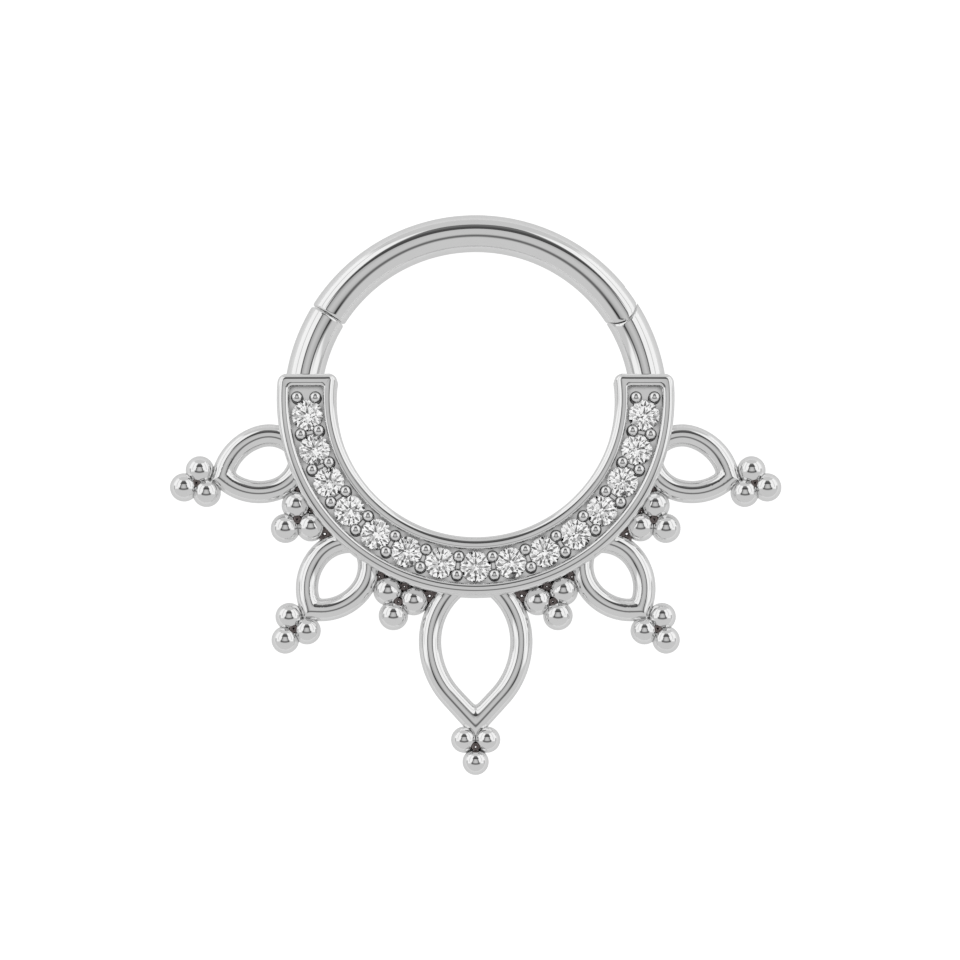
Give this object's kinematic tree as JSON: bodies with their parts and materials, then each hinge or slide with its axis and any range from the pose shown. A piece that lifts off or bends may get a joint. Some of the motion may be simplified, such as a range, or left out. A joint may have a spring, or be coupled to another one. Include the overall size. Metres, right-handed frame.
{
  "type": "hinged piercing hoop",
  "caption": "Hinged-segment piercing hoop in polished white metal, its lower half a stone-set crescent channel with petal loops and ball clusters.",
  "frame": {"origin": "middle of the channel's bore, on the plane of the flat back", "axes": "+Z along the hoop's axis, from the flat back towards the stones; +Y from the petals towards the hinged segment; +X towards the hinge's side"},
  "size_m": [0.0196, 0.0181, 0.0016],
  "materials": {
    "metal": "mirror polish",
    "stone": "faceted"
  },
  "bodies": {
    "hoop": {"frame": "metal", "hinge_pin": "metal", "stone_01": "stone", "stone_02": "stone", "stone_03": "stone", "stone_04": "stone", "stone_05": "stone", "stone_06": "stone", "stone_07": "stone", "stone_08": "stone", "stone_09": "stone", "stone_10": "stone", "stone_11": "stone", "stone_12": "stone", "stone_13": "stone", "stone_14": "stone", "stone_15": "stone"},
    "clicker": {"clicker_arc": "metal"}
  },
  "joints": [
    {"name": "clicker_hinge", "type": "hinge", "parent": "hoop", "child": "clicker", "pos_m": [0.00472, 0.00323, 0.0008], "axis": [0, 0, -1], "range_deg": [0, 80]}
  ]
}
